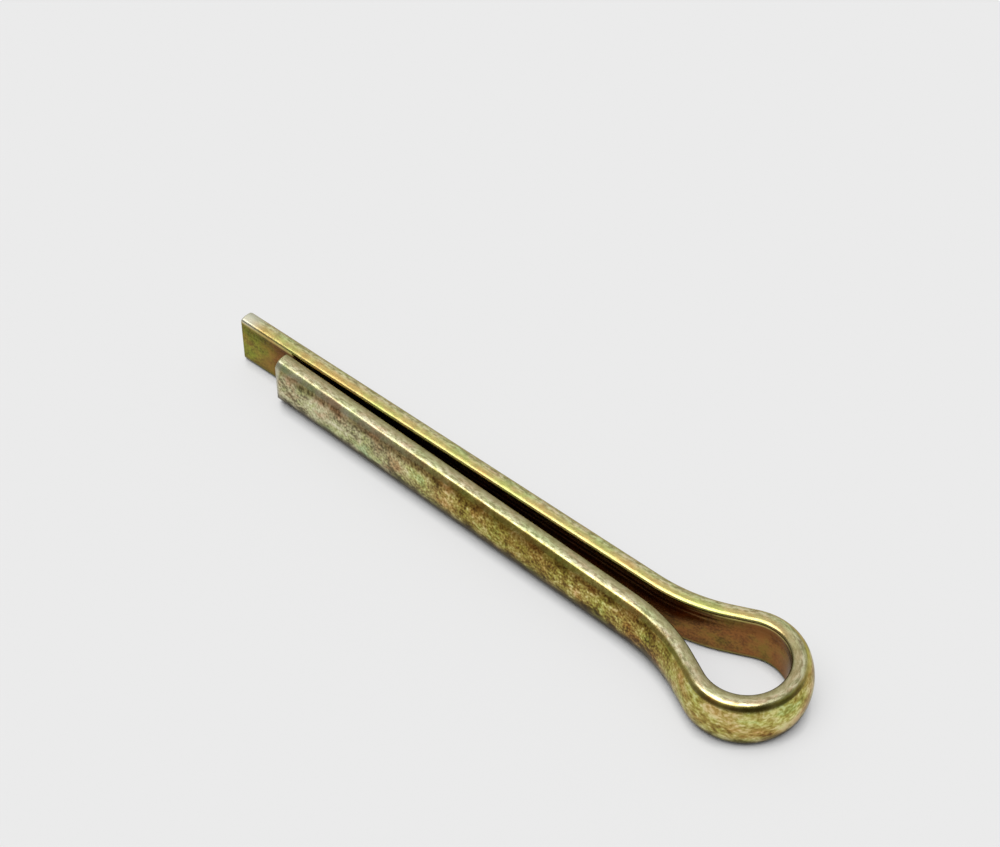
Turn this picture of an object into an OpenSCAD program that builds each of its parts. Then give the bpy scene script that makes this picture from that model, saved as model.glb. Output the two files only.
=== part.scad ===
// Split cotter pin bent from one length of flattened half-round wire.
// It lies on its side: the wire's flat face looks inwards all the way round,
// the eye is at -X, the two legs run to +X and the short leg is on the +Y side.

/* [Wire] */
// Height of the wire's section, which is the width of the closed pin
wire_h = 3.6; // [2:0.1:6]
// Thickness of the section, from its flat inner face to the crown of its outer side
wire_t = 1.4; // [1:0.05:2.4]
// How far the outer side is crowned, from its shoulders to its middle
crown_rise = 0.2; // [0.05:0.01:0.5]
// Radius of the shoulders between the crown and the section's top and bottom
shoulder_r = 0.7; // [0.3:0.05:1.1]
// Radius of the two corners beside the flat inner face
corner_r = 0.35; // [0.1:0.05:0.6]

/* [Legs] */
// Straight length of the short leg, from the neck bend to its cut end
short_leg = 28.4; // [10:0.1:70]
// How far the long leg reaches past the short one
prong_extra = 4.2; // [0:0.1:8]
// Gap between the two flat faces at the short leg's end
tip_gap = 0.18; // [0.1:0.02:1]
// Angle in degrees by which each leg opens from the pin's axis towards the eye
leg_spread = 0.8; // [0:0.1:1.6]
// Length along the leg of the bevel that the shear leaves on the outer side of a cut end
bevel_length = 0.45; // [0.1:0.05:1]
// Depth of that bevel into the wire's thickness
bevel_depth = 0.25; // [0.05:0.05:0.5]

/* [Eye] */
// Radius of the neck bend, measured at the flat face
neck_r = 12; // [6:0.5:16]
// Angle in degrees by which the wire turns outwards at the neck
neck_turn = 25.1; // [18:0.1:28]
// Radius of the round end of the eye, measured at the flat face
eye_r = 2.6; // [2.2:0.1:6]

/* [Hidden] */
$fn = 96;
wire_color = [0.70, 0.64, 0.40];
long_leg = short_leg + prong_extra;

// Section: the crown's arc touches both shoulders' arcs from outside and meets them at meet_y
shoulder_x = wire_t - crown_rise - shoulder_r;
shoulder_y = wire_h / 2 - shoulder_r;
crown_r = shoulder_y * shoulder_y / (2 * crown_rise) + shoulder_r + crown_rise / 2;
crown_x = wire_t - crown_r;
meet_y = crown_r * sin(atan2(shoulder_y, shoulder_x - crown_x));

// Path: the straight arm between neck and eye is as long as brings the eye's centre onto the pin's axis
arm_angle = neck_turn + leg_spread;
eye_turn = 90 + arm_angle;
neck_half_gap = tip_gap / 2 + short_leg * sin(leg_spread);
neck_rise = neck_r * (cos(leg_spread) - cos(arm_angle));
arm_length = (eye_r * cos(arm_angle) - neck_rise - neck_half_gap) / sin(arm_angle);

// Places along the axis, with the origin at the middle of the whole length
neck_reach = neck_r * (sin(arm_angle) - sin(leg_spread));
neck_to_eye = neck_reach + arm_length * cos(arm_angle) + eye_r * sin(arm_angle);
total_length = wire_t + eye_r + neck_to_eye + long_leg * cos(leg_spread);
eye_x = wire_t + eye_r - total_length / 2;
neck_x = eye_x + neck_to_eye;

// Angle in degrees by which a bend is made too long before it is trimmed
overrun = 4;

// Inner side of the section: a flat face on x = 0 between two rounded corners
module inner_side() {
    translate([corner_r, -wire_h / 2])
        square([wire_t - corner_r, wire_h]);
    translate([0, corner_r - wire_h / 2])
        square([corner_r, wire_h - 2 * corner_r]);
    for (end = [-1, 1])
        translate([corner_r, end * (wire_h / 2 - corner_r)])
            circle(corner_r);
}

// Outer side of the section: a crown at x = wire_t between two rounded shoulders
module outer_side() {
    translate([0, -wire_h / 2])
        square([shoulder_x, wire_h]);
    for (end = [-1, 1])
        translate([shoulder_x, end * shoulder_y])
            circle(shoulder_r);
    intersection() {
        translate([crown_x, 0])
            circle(crown_r);
        translate([0, -meet_y])
            square([wire_t, 2 * meet_y]);
    }
}

// Wire section, centred on y = 0
module section() {
    intersection() {
        inner_side();
        outer_side();
    }
}

// The wire is laid in steps, from a cut end to the eye. Each step starts at the flat face and goes
// along +x, with the crown towards +y, and its children go on from its end.

// Straight stretch
module run(length) {
    rotate([90, 0, 90])
        linear_extrude(length)
            section();
    translate([length, 0, 0])
        children();
}

// Straight stretch with a sheared start, bevelled on its outer side
module leg(length) {
    cut = 2 * (bevel_length + bevel_depth);
    difference() {
        run(length);
        translate([bevel_length, wire_t, -wire_h])
            rotate(atan2(bevel_depth, bevel_length))
                translate([-cut, 0, 0])
                    cube([cut, cut, 2 * wire_h]);
    }
    translate([length, 0, 0])
        children();
}

// Bend towards the crown, trimmed square where its children start
module bend_out(radius, turn) {
    translate([0, radius, 0]) {
        difference() {
            rotate(-90)
                rotate_extrude(angle = turn + overrun)
                    translate([radius, 0])
                        mirror([1, 0])
                            section();
            rotate(turn)
                translate([0, -radius - wire_h, -wire_h])
                    cube(2 * wire_h);
        }
        rotate(turn)
            translate([0, -radius, 0])
                children();
    }
}

// Bend towards the flat face
module bend_in(radius, turn) {
    translate([0, -radius, 0])
        rotate(90)
            mirror([0, 1, 0])
                rotate_extrude(angle = turn)
                    translate([radius, 0])
                        section();
}

// One half of the pin, from a cut end to the middle of the eye's round end, where it is trimmed
module half_pin(leg_length) {
    eye_room = 2 * (eye_r + wire_t);
    difference() {
        translate([neck_x, neck_half_gap, wire_h / 2])
            rotate(-leg_spread)
                mirror([1, 0, 0])
                    translate([-leg_length, 0, 0])
                        leg(leg_length)
                            bend_out(neck_r, neck_turn)
                                run(arm_length)
                                    bend_in(eye_r, eye_turn + overrun);
        translate([eye_x - eye_room, -eye_room, -wire_h])
            cube([eye_room, eye_room, 3 * wire_h]);
    }
}

module cotter_pin() {
    color(wire_color) {
        half_pin(short_leg);
        mirror([0, 1, 0])
            half_pin(long_leg);
    }
}

cotter_pin();
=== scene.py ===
import math
import bpy
import numpy as np
from mathutils import Matrix, Vector


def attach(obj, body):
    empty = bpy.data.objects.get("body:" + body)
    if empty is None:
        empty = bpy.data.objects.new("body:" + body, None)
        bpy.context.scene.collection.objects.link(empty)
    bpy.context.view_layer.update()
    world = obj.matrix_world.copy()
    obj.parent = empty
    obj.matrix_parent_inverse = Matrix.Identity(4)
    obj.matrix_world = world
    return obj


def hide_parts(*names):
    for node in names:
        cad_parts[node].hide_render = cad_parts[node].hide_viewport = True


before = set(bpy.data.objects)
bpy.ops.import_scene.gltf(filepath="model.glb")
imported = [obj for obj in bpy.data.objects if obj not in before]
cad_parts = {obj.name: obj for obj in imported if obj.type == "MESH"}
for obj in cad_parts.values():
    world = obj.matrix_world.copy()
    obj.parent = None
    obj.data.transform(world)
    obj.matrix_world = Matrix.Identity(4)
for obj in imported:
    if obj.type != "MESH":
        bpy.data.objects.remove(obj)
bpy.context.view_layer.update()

MM = 0.001

# Wire section, in millimetres and degrees
WIRE_H = 3.6
WIRE_T = 1.4
# Arcs of the section, each with its radius and how far it turns: from the flat face to the top, and
# from the top to the crown
CORNER = [(0.22, 72), (0.8, 18)]
SHOULDER = [(1.43, 15), (0.36, 27), (1.0, 30)]
# Fine grooves that drawing leaves on the flat inner face
GROOVE_HEIGHTS = (1.22, 0.86)
GROOVE_WIDTH = 0.16
GROOVE_DEPTH = 0.015

# Path of the wire's flat face, in millimetres and degrees
SHORT_LEG = 28.4
LONG_LEG = 32.6
TIP_GAP = 0.18
LEG_SPREAD = 0.8
NECK_R = 12.0
NECK_TURN = 25.1
EYE_R = 2.6

# Cut ends, in millimetres
BEVEL_LENGTH = 0.45
BEVEL_DEPTH = 0.25
END_EDGE_R = 0.05

# Mesh: millimetres between rings, degrees between points on an arc of the section, and rings on a cut
# end's rounded edge and on its bevel
STATION = 0.15
ARC_STEP = 3
END_RINGS = 6

# Camera, in millimetres and degrees, with its clipping distances in metres
CAMERA_AT = (-78.457, 87.526, 141.687)
CAMERA_AIM = (5.161, -5.296, 1.8)
CAMERA_ROLL = -0.769
CAMERA_LENS = 110.38
CAMERA_SENSOR = 36
CAMERA_CLIP = (0.005, 20)

# Floor: half its width in metres, its grey, and the grey of the painted contact shadow where the pin touches
# it
FLOOR_SIZE = 20
FLOOR_GREY = (0.80, 0.80, 0.80)
CONTACT_SHADOW_GREY = (0.06, 0.06, 0.06)
# Share of the floor's brightness that is its own glow, near the pin and what is added away from it, and how
# far the pin is felt, in millimetres; the glow fades towards the pin, which paints its contact shadow darker
CONTACT_SHARE = 0.62
FAR_SHARE = 0.13
CONTACT_REACH = 1.2
# How open the floor is to the sky where its grey comes in over the painted contact shadow's grey, and where
# its own brightness and the added share come in
SHADOW_GREY_OPEN = (0.1, 0.6)
CONTACT_OPEN = (0.3, 0.55)
FAR_OPEN = (0.55, 1.0)

# Light dome: its even level, then soft panels and dark flags, each with its azimuth, elevation,
# inner and outer radius in degrees, and the panel's strength or the share that the flag takes away
DOME_LEVEL = 0.35
PANELS = [
    (75, 73, 20, 29, 4.2),
    (-20, 65, 5, 50, 0.45),
    (100, 45, 6, 22, 0.7),
    (-75, 25, 20, 70, 0.3),
]
FLAGS = [
    (60, 0, 18, 38, 0.2),
    (135, 40, 20, 42, 0.7),
]

# The plating is laid on the straightened wire, in millimetres: along it from the long leg's tip, in
# depth from the flat face, and in level or height from the section's middle. A pair of numbers is where
# a change starts and where it is complete.

# Along the wire: its whole length, the middles of the eye, of the brownest stretch and of the painted dark
# line under the eye's highlight, which stands in for a dark reflection, and how far the last two reach
WIRE_LENGTH = 85.0
EYE_AT = 44.6
BROWN_AT = 65.5
BROWN_REACH = 6
LINE_AT = 46.6
LINE_FADE = (1.6, 3.6)
# Along the wire: the ends of the long leg's olive face and of the painted highlight on its edge at its tip,
# the change from the long leg's look to the short one's on the outer side, the edges and the flat face,
# where the painted shade low on the outer side gets less, and the pale stretch at the short leg's tip
OLIVE_TIP = (0.8, 3.4)
HIGHLIGHT_TIP = (0.3, 1.9)
SIDE_CHANGE = (28, 40)
EDGE_CHANGE = (37, 44)
FACE_CHANGE = (37, 40)
LESS_RIM_SHADE = (66, 76)
PALE = (69, 79)
# From the middle of the eye, where its own look gives way to the legs'
EYE_BLOTS = (5, 10)
EYE_SPECKS = (5, 9)
EYE_PALER = (4, 8)
EYE_CALM = (5, 10)
EYE_DARK_BAND = (5, 12)
EYE_RIM_SHADE = (4, 9)
# From the nearer tip: the cut end's own face, and the paler bevel
CUT_FACE = (0.01, 0.05)
PALE_BEVEL = (0.25, 0.55)
# Height: calmer mottling, the painted dark band under the edge that stands in for a dark reflection, the
# rubbed top, the corner and the painted highlight on the edge
CALM = (1.35, 1.55)
DARK_BAND_IN = (0.85, 1.25)
DARK_BAND_OUT = (1.36, 1.52)
TOP = (1.66, 1.78)
CORNER_IN = (1.40, 1.62)
HIGHLIGHT_EDGE = (1.5, 1.7)
# Level: the painted dark line at the eye, the painted shade on the flat face's upper part, the painted shade
# low on the outer side and the painted dark foot
LINE_IN = (1.42, 1.52)
LINE_OUT = (1.60, 1.70)
FACE_SHADED = (0.2, 1.2)
RIM_SHADE_OUT = (-0.85, -0.1)
DARK_FOOT_OUT = (-1.65, -1.35)
# Depth: the flat face, the corner, the painted shade on the outer side, the paler bevel and the torn cut
# face
FACE_OUT = (0.1, 0.3)
CORNER_OUT = (0.30, 0.80)
RIM_SHADE_IN = (0.5, 0.9)
BEVEL_IN = (0.6, 1.0)
TORN_OUT = (0.35, 0.55)
# How ragged the painted shade's and the torn face's borders are, and the patches' values that make them so
RAGGED = (-0.25, 0.25)
PATCH_RANGE = (0.3, 0.7)

# Mottling: the mean tone, and the shares of its zones and of its patches and specks together
MEAN_TONE = 0.53
ZONE_SHARE = 0.12
FINE_SHARE = 0.88

# Colours of the plating by tone or hue
SIDE_TONES = [
    (0.40, (0.10, 0.058, 0.016)),
    (0.46, (0.235, 0.155, 0.040)),
    (0.505, (0.38, 0.30, 0.082)),
    (0.55, (0.51, 0.44, 0.145)),
    (0.61, (0.78, 0.71, 0.39)),
]
PALE_TONES = [
    (0.40, (0.20, 0.18, 0.11)),
    (0.46, (0.44, 0.42, 0.27)),
    (0.53, (0.66, 0.64, 0.46)),
    (0.61, (0.88, 0.87, 0.72)),
]
SIDE_HUES = [
    (0.35, (1.0, 0.70, 0.58)),
    (0.44, (1.0, 0.88, 0.76)),
    (0.50, (1.0, 1.0, 0.88)),
    (0.57, (0.94, 1.0, 0.68)),
    (0.66, (0.78, 1.0, 0.74)),
]
RUBBED_TONES = [
    (0.40, (0.29, 0.27, 0.150)),
    (0.50, (0.50, 0.48, 0.305)),
    (0.60, (0.70, 0.68, 0.480)),
]
RUBBED_HUES = [
    (0.37, (1.0, 0.80, 0.76)),
    (0.46, (1.0, 0.97, 0.94)),
    (0.54, (0.96, 1.0, 0.84)),
    (0.64, (0.84, 1.0, 0.76)),
]
FACE_HUES = [
    (0.40, (1.0, 0.78, 0.95)),
    (0.50, (1.0, 0.95, 1.0)),
    (0.60, (0.80, 1.0, 0.85)),
]
GOLD_HUES = [
    (0.40, (0.60, 0.42, 0.150)),
    (0.50, (0.55, 0.46, 0.170)),
    (0.60, (0.48, 0.49, 0.155)),
]
SHEARED_TONES = [
    (0.38, (0.26, 0.22, 0.11)),
    (0.50, (0.42, 0.38, 0.21)),
    (0.62, (0.60, 0.57, 0.40)),
]
OLIVE_FACE = (0.36, 0.33, 0.050)
COPPER_FACE = (0.28, 0.145, 0.036)
DARK_FACE = (0.09, 0.045, 0.018)
NEAR_CORNER = (0.30, 0.255, 0.12)
PALE_METAL_AND_HIGHLIGHT = (0.68, 0.67, 0.54)

# Tints that a colour is multiplied by
BROWN_TINT = (0.74, 0.66, 0.52)
DARK_BAND_TINT = (0.46, 0.37, 0.30)
DARK_LINE_TINT = (0.30, 0.24, 0.20)
FAR_EDGE_TINT = (1.18, 1.18, 1.10)
FACE_SHADE_TINT = (0.5, 0.5, 0.45)
STREAK_TINT = (0.55, 0.52, 0.50)
RIM_SHADE_TINT = (0.21, 0.19, 0.16)
TORN_TINT = (0.42, 0.36, 0.30)
GLANCING_TINT = (0.68, 0.66, 0.62)

# Gloss of the plating, and its grit with the depth in metres
ROUGHNESS = (0.16, 0.29)
GRIT_STRENGTH = 0.15
GRIT_DEPTH = 0.00002


def section_arc(start, radius, turn_from, turn_to):
    """Points on an arc of the section, given its normal's angles from up towards the crown, in degrees."""
    count = math.ceil((turn_to - turn_from) / ARC_STEP) + 1
    angles = np.radians(np.linspace(turn_from, turn_to, count))
    arc = radius * np.column_stack([np.sin(angles), np.cos(angles)])
    return arc - arc[0] + start


def upper_half():
    """Upper half of the section, from the flat face over the top to the middle of the crown."""
    half = WIRE_H / 2
    corner = [np.array([[0.0, 0.0]])]
    angle = -90
    for radius, turn in CORNER:
        corner.append(section_arc(corner[-1][-1], radius, angle, angle + turn)[1:])
        angle += turn
    corner = np.vstack(corner)
    shoulder = [np.array([[0.0, half]])]
    for radius, turn in SHOULDER:
        shoulder.append(section_arc(shoulder[-1][-1], radius, angle, angle + turn)[1:])
        angle += turn
    crown_r = shoulder[-1][-1, 1] / math.cos(math.radians(angle))
    shoulder.append(section_arc(shoulder[-1][-1], crown_r, angle, 90)[1:])
    shoulder = np.vstack(shoulder)
    return np.vstack([corner + (0, half - corner[-1, 1]), shoulder + (WIRE_T - shoulder[-1, 0], 0)])


def wire_section():
    """Closed outline of the wire: x from the flat face to the crown, y up."""
    upper = upper_half()
    flat = []
    for height in GROOVE_HEIGHTS:
        flat.append((0, height + GROOVE_WIDTH / 2))
        flat.append((GROOVE_DEPTH, height))
        flat.append((0, height - GROOVE_WIDTH / 2))
    return np.vstack([flat, [(0, 0)], upper[:-1] * (1, -1), upper[::-1]])


def wire_path():
    """Stations along the flat face, from the long leg's tip round the eye to the short leg's tip.

    Each row is x, y, heading in radians and the distance from the long leg's tip.
    """
    spread = math.radians(LEG_SPREAD)
    neck = math.radians(NECK_TURN)
    arm_angle = math.radians(NECK_TURN + LEG_SPREAD)
    half_gap = TIP_GAP / 2 + SHORT_LEG * math.sin(spread)
    neck_rise = NECK_R * (math.cos(spread) - math.cos(arm_angle))
    arm = (EYE_R * math.cos(arm_angle) - neck_rise - half_gap) / math.sin(arm_angle)
    steps = [
        (LONG_LEG, 0),
        (NECK_R * neck, neck),
        (arm, 0),
        (EYE_R * (math.pi + 2 * arm_angle), -math.pi - 2 * arm_angle),
        (arm, 0),
        (NECK_R * neck, neck),
        (SHORT_LEG, 0),
    ]
    pin_length = WIRE_T + EYE_R * (1 + math.sin(arm_angle)) + arm * math.cos(arm_angle)
    pin_length += NECK_R * (math.sin(arm_angle) - math.sin(spread)) + LONG_LEG * math.cos(spread)
    x = pin_length / 2
    y = LONG_LEG * math.sin(spread) - half_gap
    heading = math.pi + spread
    along = 0.0
    rows = []
    for length, turn in steps:
        count = math.ceil(length / STATION)
        step = length / count
        angle = turn / count
        chord = step if turn == 0 else 2 * step / angle * math.sin(angle / 2)
        for _ in range(count):
            rows.append((x, y, heading, along))
            x += chord * math.cos(heading + angle / 2)
            y += chord * math.sin(heading + angle / 2)
            heading += angle
            along += step
    rows.append((x, y, heading, along))
    return np.array(rows)


def ring_places(stations):
    """Distances along the wire at which the mesh has a ring, closer together at the cut ends."""
    rounded = END_EDGE_R * (1 - np.cos(np.linspace(0, math.pi / 2, END_RINGS + 1)))
    bevelled = np.linspace(END_EDGE_R, BEVEL_LENGTH, END_RINGS + 1)
    ends = np.concatenate([rounded, bevelled[1:]])
    total = stations[-1]
    between = stations[(stations > BEVEL_LENGTH) & (stations < total - BEVEL_LENGTH)]
    return np.unique(np.concatenate([ends, between, total - ends]))


def outward(outline):
    """Unit normals of a closed outline that runs with its inside on the left."""
    tangents = np.roll(outline, -1, 0) - np.roll(outline, 1, 0)
    tangents /= np.linalg.norm(tangents, axis=1)[:, None]
    return np.column_stack([tangents[:, 1], -tangents[:, 0]])


def end_outline(outline, normals, distance):
    """The section at a distance from a cut end, with the end's bevel and rounded edge."""
    shape = outline.copy()
    if distance < BEVEL_LENGTH:
        shape[:, 0] = np.minimum(shape[:, 0], WIRE_T - BEVEL_DEPTH * (1 - distance / BEVEL_LENGTH))
    if distance < END_EDGE_R:
        away = END_EDGE_R - distance
        shape = shape - normals * (END_EDGE_R - math.sqrt(END_EDGE_R ** 2 - away ** 2))
    return shape


def make_wire():
    """The whole pin as one swept mesh, with the straightened wire's coordinates kept on its points."""
    outline = wire_section()
    normals = outward(outline)
    path_x, path_y, path_heading, stations = wire_path().T
    places = ring_places(stations)
    total = stations[-1]
    points = []
    wire = []
    for along in places:
        x = np.interp(along, stations, path_x)
        y = np.interp(along, stations, path_y)
        heading = np.interp(along, stations, path_heading)
        shape = end_outline(outline, normals, min(along, total - along))
        for depth, level in shape:
            points.append((
                x - math.sin(heading) * depth,
                y + math.cos(heading) * depth,
                level + WIRE_H / 2,
            ))
            wire.append((along, depth, level))
    ring = len(outline)
    faces = []
    for i in range(len(places) - 1):
        a, b = i * ring, (i + 1) * ring
        for j in range(ring):
            k = (j + 1) % ring
            faces.append((a + j, a + k, b + k, b + j))
    faces.append(tuple(range(ring - 1, -1, -1)))
    faces.append(tuple(range(len(points) - ring, len(points))))
    mesh = bpy.data.meshes.new("wire")
    mesh.from_pydata([Vector(p) * MM for p in points], [], faces)
    mesh.validate()
    mesh.update()
    mesh.polygons.foreach_set("use_smooth", [len(face) == 4 for face in faces])
    attribute = mesh.attributes.new("wire", "FLOAT_VECTOR", "POINT")
    attribute.data.foreach_set("vector", np.array(wire, np.float32).ravel())
    piece = bpy.data.objects.new("wire", mesh)
    bpy.context.scene.collection.objects.link(piece)
    return piece


class Graph:
    """Adds shader nodes to a node tree, with their inputs set or linked."""

    def __init__(self, tree):
        self.tree = tree

    def add(self, kind, inputs, **settings):
        node = self.tree.nodes.new(kind)
        for name, value in settings.items():
            setattr(node, name, value)
        for name, value in inputs.items():
            if isinstance(value, bpy.types.NodeSocket):
                self.tree.links.new(value, node.inputs[name])
            else:
                node.inputs[name].default_value = value
        return node

    def noise(self, vector, scale, detail, roughness=0.55, distortion=0.0):
        inputs = {"Vector": vector, "Scale": scale, "Detail": detail}
        inputs.update({"Roughness": roughness, "Distortion": distortion})
        return self.add("ShaderNodeTexNoise", inputs).outputs["Fac"]

    def scaled(self, vector, factors, shift=(0, 0, 0)):
        inputs = {0: vector, 1: factors, 2: shift}
        return self.add("ShaderNodeVectorMath", inputs, operation="MULTIPLY_ADD").outputs["Vector"]

    def math(self, operation, a, b):
        return self.add("ShaderNodeMath", {0: a, 1: b}, operation=operation).outputs["Value"]

    def plus(self, a, b):
        return self.math("ADD", a, b)

    def minus(self, a, b):
        return self.math("SUBTRACT", a, b)

    def times(self, a, b):
        return self.math("MULTIPLY", a, b)

    def ease(self, value, low, high, to_low=0.0, to_high=1.0):
        """Goes smoothly from to_low to to_high as the value goes from low to high."""
        inputs = {"Value": value, "From Min": low, "From Max": high, "To Min": to_low, "To Max": to_high}
        return self.add("ShaderNodeMapRange", inputs, interpolation_type="SMOOTHSTEP").outputs["Result"]

    def mix(self, factor, a, b, blend="MIX"):
        """Colour a, with colour b over it as far as the factor says."""
        inputs = {0: factor}
        for socket, colour in ((6, a), (7, b)):
            inputs[socket] = (*colour, 1) if isinstance(colour, tuple) else colour
        return self.add("ShaderNodeMix", inputs, data_type="RGBA", blend_type=blend).outputs[2]

    def tint(self, factor, colour, tint):
        """The colour, multiplied by the tint as far as the factor says."""
        return self.mix(factor, colour, tint, "MULTIPLY")

    def ramp(self, value, stops):
        node = self.add("ShaderNodeValToRGB", {"Fac": value})
        elements = node.color_ramp.elements
        while len(elements) < len(stops):
            elements.new(0.5)
        for element, (place, colour) in zip(elements, stops):
            element.position = place
            element.color = (*colour, 1)
        return node.outputs["Color"]


class Plating(Graph):
    """The plating's colours, each laid over the one before it."""

    def __init__(self, tree):
        super().__init__(tree)
        self.wire = self.add("ShaderNodeAttribute", {}, attribute_name="wire").outputs["Vector"]
        place = self.add("ShaderNodeSeparateXYZ", {0: self.wire}).outputs
        self.along, self.depth, self.level = place["X"], place["Y"], place["Z"]
        self.height = self.math("ABSOLUTE", self.level, 0)
        self.from_eye = self.away_from(EYE_AT)
        self.from_tip = self.math("MINIMUM", self.along, self.minus(WIRE_LENGTH, self.along))
        self.drawn = self.scaled(self.wire, (0.5, 1, 1))
        self.patches = self.all_patches()
        self.ragged = self.ease(self.patches, *PATCH_RANGE, *RAGGED)
        self.tone = self.mottling()
        self.hue = self.noise(self.scaled(self.wire, (0.8, 1, 1), (31, 7, 13)), 0.6, 4, 0.62)
        self.streaks = self.noise(self.scaled(self.wire, (0.4, 1, 1)), 5, 4, 0.7)
        self.film = self.noise(self.scaled(self.wire, (0.5, 1, 1), (5, 17, 3)), 0.9, 5, 0.7)

    def away_from(self, middle):
        """Distance along the wire from a place on it."""
        return self.math("ABSOLUTE", self.minus(self.along, middle), 0)

    def all_patches(self):
        """Patches drawn out along the legs, and rounder blots at the eye."""
        patches = self.noise(self.scaled(self.wire, (0.75, 1, 1)), 0.9, 5, 0.62, 0.5)
        blots = self.noise(self.scaled(self.wire, (1.5, 1, 1), (3, 9, 4)), 0.9, 5, 0.6, 0.3)
        at_eye = self.ease(self.from_eye, *EYE_BLOTS, 1, 0)
        return self.plus(patches, self.times(at_eye, self.minus(blots, patches)))

    def mottling(self):
        """Tone of the plating: wide zones, patches and fine specks, calmer at the eye and on the far leg."""
        zones = self.noise(self.drawn, 0.16, 2)
        specks = self.noise(self.wire, 6, 2, 0.5)
        speck_share = self.ease(self.from_eye, *EYE_SPECKS, 0.34, 0.38)
        patch_share = self.minus(FINE_SHARE, speck_share)
        tone = self.plus(self.times(self.patches, patch_share), self.times(specks, speck_share))
        tone = self.plus(tone, self.times(zones, ZONE_SHARE))
        tone = self.plus(tone, self.ease(self.from_eye, *EYE_PALER, 0.06, -0.005))
        on_far_leg = self.ease(self.along, *SIDE_CHANGE, 0.7, 1)
        at_eye = self.ease(self.from_eye, *EYE_CALM, 0.8, 1)
        contrast = self.math("MINIMUM", on_far_leg, at_eye)
        contrast = self.times(contrast, self.ease(self.height, *CALM, 1, 0.35))
        return self.plus(self.times(self.minus(tone, MEAN_TONE), contrast), MEAN_TONE)

    def outer_side(self):
        """Mottled gold and bronze, with a pale tip, a brown stretch, and a painted dark band under the edge
        and a painted dark line under the eye's highlight, which stand in for dark reflections.
        """
        pale = self.ramp(self.tone, PALE_TONES)
        side = self.mix(self.ease(self.along, *PALE, 0, 0.9), self.ramp(self.tone, SIDE_TONES), pale)
        brown = self.ease(self.away_from(BROWN_AT), 0, BROWN_REACH, 0.8, 0)
        side = self.tint(brown, side, BROWN_TINT)
        # Painted dark band under the top edge, standing in for the reflection of dark surroundings below the
        # highlight
        dark_band = self.ease(self.from_eye, *EYE_DARK_BAND, 0.15, 0.9)
        dark_band = self.times(dark_band, self.ease(self.height, *DARK_BAND_IN))
        dark_band = self.times(dark_band, self.ease(self.height, *DARK_BAND_OUT, 1, 0))
        side = self.tint(dark_band, side, DARK_BAND_TINT)
        hues = self.ramp(self.hue, SIDE_HUES)
        side = self.tint(self.ease(self.along, *SIDE_CHANGE, 0.5, 0.9), side, hues)
        # Painted dark line under the eye's highlight, standing in for a dark reflection
        line = self.times(self.ease(self.level, *LINE_IN, 0, 0.8), self.ease(self.level, *LINE_OUT, 1, 0))
        line = self.times(line, self.ease(self.away_from(LINE_AT), *LINE_FADE, 1, 0))
        return self.tint(line, side, DARK_LINE_TINT)

    def add_top(self, colour):
        """Rubbed, paler top and bottom of the wire, brighter on the far leg."""
        rubbed = self.ramp(self.streaks, RUBBED_TONES)
        rubbed = self.tint(1.0, rubbed, self.ramp(self.film, RUBBED_HUES))
        rubbed = self.tint(self.ease(self.along, *EDGE_CHANGE, 1, 0), rubbed, FAR_EDGE_TINT)
        return self.mix(self.ease(self.height, *TOP), colour, rubbed)

    def add_face(self, colour):
        """Coppery flat face, olive at the long leg's tip, with painted shade on its upper part."""
        face = self.mix(self.ease(self.along, *OLIVE_TIP), OLIVE_FACE, COPPER_FACE)
        face = self.mix(self.ease(self.tone, 0.40, 0.58, 0.8, 0), face, DARK_FACE)
        hue = self.minus(self.hue, self.ease(self.along, *FACE_CHANGE, 0, 0.08))
        face = self.tint(0.9, face, self.ramp(hue, FACE_HUES))
        # Painted shade on the upper part of the flat face
        face = self.tint(self.ease(self.level, *FACE_SHADED, 0, 0.6), face, FACE_SHADE_TINT)
        on_face = self.times(
            self.ease(self.height, *CORNER_IN, 1, 0),
            self.ease(self.depth, *FACE_OUT, 1, 0),
        )
        return self.mix(on_face, colour, face)

    def add_corner(self, colour):
        """Gold corners beside the flat face, duller on the near leg."""
        gold = self.ramp(self.film, GOLD_HUES)
        gold = self.tint(self.ease(self.streaks, 0.38, 0.62, 0.5, 0), gold, STREAK_TINT)
        corner = self.mix(self.ease(self.along, *EDGE_CHANGE), gold, NEAR_CORNER)
        on_corner = self.times(
            self.ease(self.height, *CORNER_IN),
            self.ease(self.depth, *CORNER_OUT, 1, 0),
        )
        on_corner = self.times(on_corner, self.ease(self.along, *EDGE_CHANGE, 1, 0.7))
        return self.mix(on_corner, colour, corner)

    def add_pale_bevels_and_highlight(self, colour):
        """Paler metal on the bevels of the cut ends, and a painted highlight on the long leg's top edge at
        its tip.
        """
        bevel = self.times(self.ease(self.from_tip, *PALE_BEVEL, 0.6, 0), self.ease(self.depth, *BEVEL_IN))
        # Painted highlight on the long leg's top edge at its tip
        edge = self.times(self.ease(self.height, *HIGHLIGHT_EDGE), self.ease(self.along, *HIGHLIGHT_TIP, 0.85, 0))
        return self.mix(self.math("MAXIMUM", bevel, edge), colour, PALE_METAL_AND_HIGHLIGHT)

    def add_rim_shade(self, colour):
        """Painted shade low on the outer side, standing in for the shaded floor near the contact seen in
        reflection, with a ragged border, and a painted dark foot all round.
        """
        # Painted shade: darker low on the outer side and at the foot, where the shaded floor at the contact
        # is reflected
        border = self.plus(self.level, self.ragged)
        border = self.plus(border, self.ease(self.along, *LESS_RIM_SHADE, 0, 0.25))
        border = self.plus(border, self.ease(self.from_eye, *EYE_RIM_SHADE, 0.45, 0))
        rim_shade = self.times(self.ease(border, *RIM_SHADE_OUT, 0.95, 0), self.ease(self.depth, *RIM_SHADE_IN))
        rim_shade = self.math("MAXIMUM", rim_shade, self.ease(self.level, *DARK_FOOT_OUT, 0.95, 0))
        return self.tint(rim_shade, colour, RIM_SHADE_TINT)

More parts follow.
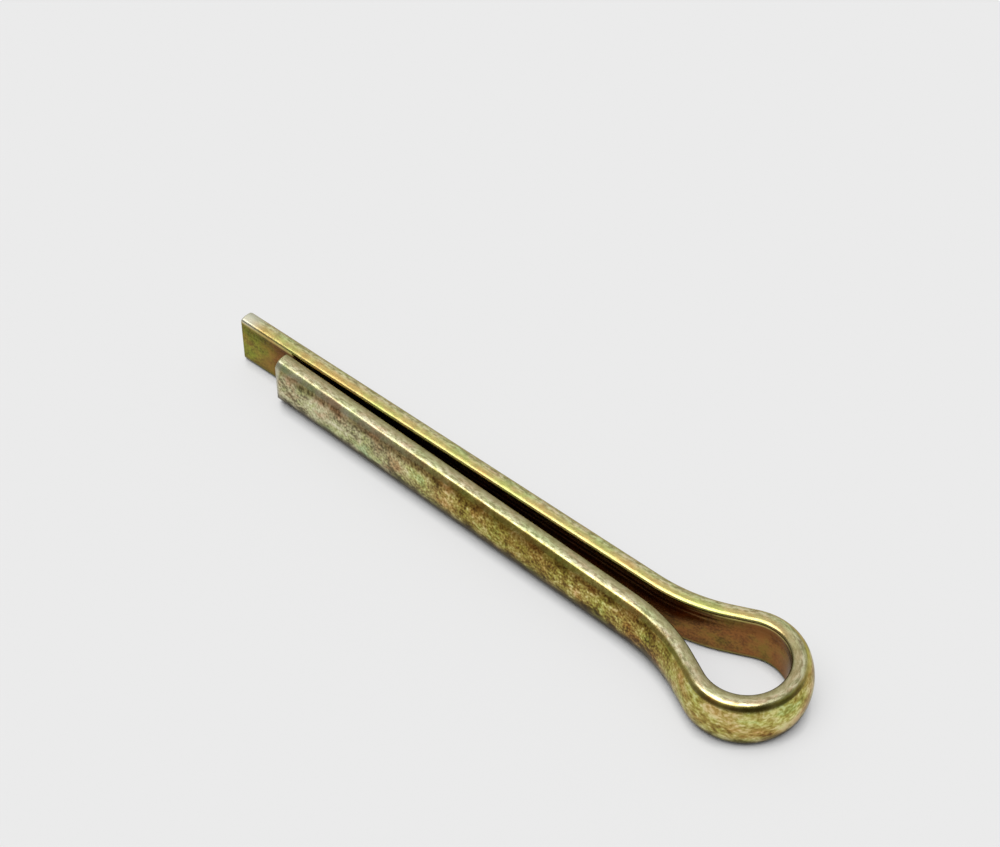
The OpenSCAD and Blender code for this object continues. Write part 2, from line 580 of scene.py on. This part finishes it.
    def add_cut_faces(self, colour):
        """Sheared metal on the cut ends, torn and darker beside the flat face."""
        sheared = self.noise(self.scaled(self.wire, (1, 0.5, 5)), 3, 3, 0.6)
        sheared = self.ramp(sheared, SHEARED_TONES)
        torn = self.ease(self.plus(self.depth, self.ragged), *TORN_OUT, 0.75, 0)
        sheared = self.tint(torn, sheared, TORN_TINT)
        return self.mix(self.ease(self.from_tip, *CUT_FACE, 1, 0), colour, sheared)


def plating():
    """Yellow zinc plate: mottled gold and bronze sides, rubbed silvery edges and a coppery inner face."""
    material = bpy.data.materials.new("yellow_zinc")
    material.use_nodes = True
    g = Plating(material.node_tree)
    shader = material.node_tree.nodes["Principled BSDF"]
    colour = g.outer_side()
    colour = g.add_top(colour)
    colour = g.add_face(colour)
    colour = g.add_corner(colour)
    colour = g.add_pale_bevels_and_highlight(colour)
    colour = g.add_rim_shade(colour)
    colour = g.add_cut_faces(colour)
    g.tree.links.new(colour, shader.inputs["Base Color"])
    roughness = g.ease(g.noise(g.drawn, 2.2, 4, 0.65), 0.3, 0.7, *ROUGHNESS)
    g.tree.links.new(roughness, shader.inputs["Roughness"])
    shader.inputs["Metallic"].default_value = 1
    shader.inputs["Specular Tint"].default_value = (*GLANCING_TINT, 1)
    grit = g.noise(g.wire, 7, 3, 0.6)
    bump = g.add("ShaderNodeBump", {"Strength": GRIT_STRENGTH, "Distance": GRIT_DEPTH, "Height": grit})
    g.tree.links.new(bump.outputs["Normal"], shader.inputs["Normal"])
    return material


def make_floor():
    """Pale paper, with part of its brightness its own glow: the shadow on it is light. Near the pin its grey
    darkens and its glow fades by how open it is to the sky, painting a dark contact shadow.

    The corners lie off centre, so that the line between the floor's two triangles misses the view.
    """
    mesh = bpy.data.meshes.new("floor")
    corners = [(x * FLOOR_SIZE, y * FLOOR_SIZE, 0) for x, y in ((-1, -1), (3, -1), (3, 1), (-1, 1))]
    mesh.from_pydata(corners, [], [(0, 1, 2, 3)])
    floor = bpy.data.objects.new("floor", mesh)
    bpy.context.scene.collection.objects.link(floor)
    material = bpy.data.materials.new("pale_paper")
    material.use_nodes = True
    g = Graph(material.node_tree)
    shader = material.node_tree.nodes["Principled BSDF"]
    shader.inputs["Roughness"].default_value = 1
    shader.inputs["Specular IOR Level"].default_value = 0
    ray = g.add("ShaderNodeLightPath", {}).outputs
    seen = g.math("MAXIMUM", ray["Is Camera Ray"], ray["Is Glossy Ray"])
    seen = g.math("MAXIMUM", seen, ray["Is Transmission Ray"])
    sky = g.add("ShaderNodeAmbientOcclusion", {"Distance": CONTACT_REACH * MM}, samples=4)
    is_open = sky.outputs["AO"]
    # Painted contact shadow: the paper's grey darkens where the pin closes it in
    paper = g.mix(g.ease(is_open, *SHADOW_GREY_OPEN), CONTACT_SHADOW_GREY, FLOOR_GREY)
    g.tree.links.new(paper, shader.inputs["Base Color"])
    # The glow fades near the pin as well, painting the contact shadow darker
    near_share = g.ease(is_open, *CONTACT_OPEN, 0, CONTACT_SHARE)
    far_share = g.ease(is_open, *FAR_OPEN, 0, FAR_SHARE)
    share = g.times(seen, g.plus(near_share, far_share))
    glow = g.add("ShaderNodeEmission", {"Color": (*FLOOR_GREY, 1)})
    both = g.add("ShaderNodeMixShader", {0: share, 1: shader.outputs["BSDF"], 2: glow.outputs["Emission"]})
    g.tree.links.new(both.outputs["Shader"], material.node_tree.nodes["Material Output"].inputs["Surface"])
    mesh.materials.append(material)


def direction(azimuth, elevation):
    """Unit vector towards a place on the dome: azimuth from +X towards +Y, in degrees."""
    a, e = math.radians(azimuth), math.radians(elevation)
    return math.cos(e) * math.cos(a), math.cos(e) * math.sin(a), math.sin(e)


def make_dome():
    """Light dome: an even grey with soft panels on it, dimmed by dark flags."""
    world = bpy.data.worlds.new("dome")
    world.use_nodes = True
    g = Graph(world.node_tree)
    look = g.add("ShaderNodeTexCoord", {}).outputs["Generated"]

    def panel(azimuth, elevation, inner, outer):
        inputs = {0: look, 1: direction(azimuth, elevation)}
        facing = g.add("ShaderNodeVectorMath", inputs, operation="DOT_PRODUCT").outputs["Value"]
        return g.ease(facing, math.cos(math.radians(outer)), math.cos(math.radians(inner)))

    level = DOME_LEVEL
    for azimuth, elevation, inner, outer, strength in PANELS:
        level = g.plus(g.times(panel(azimuth, elevation, inner, outer), strength), level)
    for azimuth, elevation, inner, outer, share in FLAGS:
        keep = g.minus(1.0, g.times(panel(azimuth, elevation, inner, outer), share))
        level = g.times(level, keep)
    g.tree.links.new(level, g.tree.nodes["Background"].inputs["Color"])
    bpy.context.scene.world = world


def make_camera():
    data = bpy.data.cameras.new("camera")
    data.sensor_width = CAMERA_SENSOR
    data.lens = CAMERA_LENS
    data.clip_start, data.clip_end = CAMERA_CLIP
    camera = bpy.data.objects.new("camera", data)
    at = Vector(CAMERA_AT) * MM
    aim = Vector(CAMERA_AIM) * MM
    turn = (aim - at).to_track_quat("-Z", "Y").to_matrix().to_4x4()
    roll = Matrix.Rotation(math.radians(CAMERA_ROLL), 4, "Z")
    camera.matrix_world = Matrix.Translation(at) @ turn @ roll
    bpy.context.scene.collection.objects.link(camera)
    bpy.context.scene.camera = camera


bpy.context.scene.view_settings.view_transform = "Standard"
make_camera()
make_dome()
make_floor()

pin = make_wire()
pin.data.materials.append(plating())
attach(pin, "root")
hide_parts("cotter_pin")
